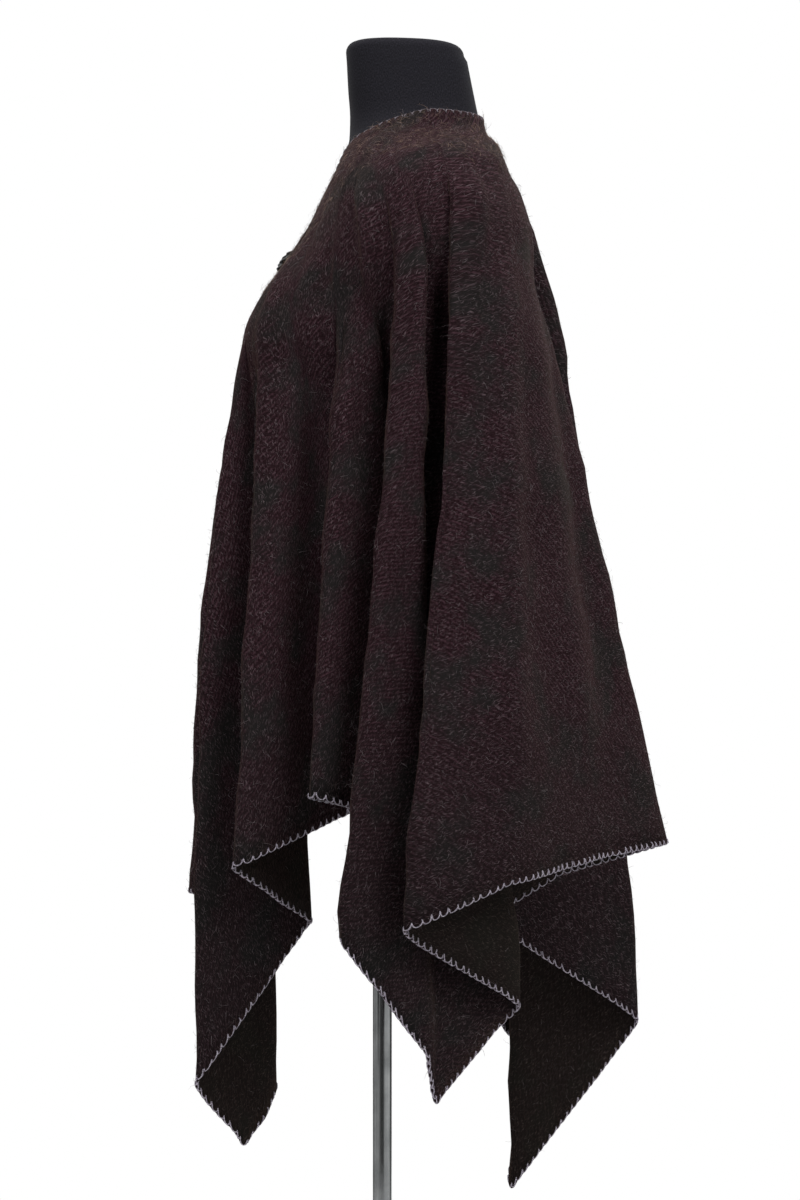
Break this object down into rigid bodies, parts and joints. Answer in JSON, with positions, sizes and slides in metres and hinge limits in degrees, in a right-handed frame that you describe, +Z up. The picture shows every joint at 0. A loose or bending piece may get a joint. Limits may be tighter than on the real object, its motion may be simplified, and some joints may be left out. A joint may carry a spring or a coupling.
{
  "type": "poncho on a dress form",
  "caption": "Square-cut wool twill blanket poncho with a slit neck and blanket-stitched edge, draped in folds on a limbless dress form and its stand.",
  "frame": {"origin": "centre of the round base's underside, on the floor and on the pole's axis", "axes": "+Z up along the pole, -Y the wearer's front, +X the wearer's left; the picture looks along -X"},
  "size_m": [0.6494, 0.4936, 1.4973],
  "materials": {
    "wool_twill": "brown heather wool twill, brushed and fuzzy",
    "form_cover": "black jersey, smooth",
    "stand_chrome": "polished",
    "clasp_black": "black, satin"
  },
  "bodies": {
    "root": {"poncho": "wool_twill", "neck_clasp": "clasp_black", "form_torso": "form_cover", "form_plate": "stand_chrome", "stand_pole": "stand_chrome", "stand_base": "stand_chrome"}
  },
  "joints": []
}
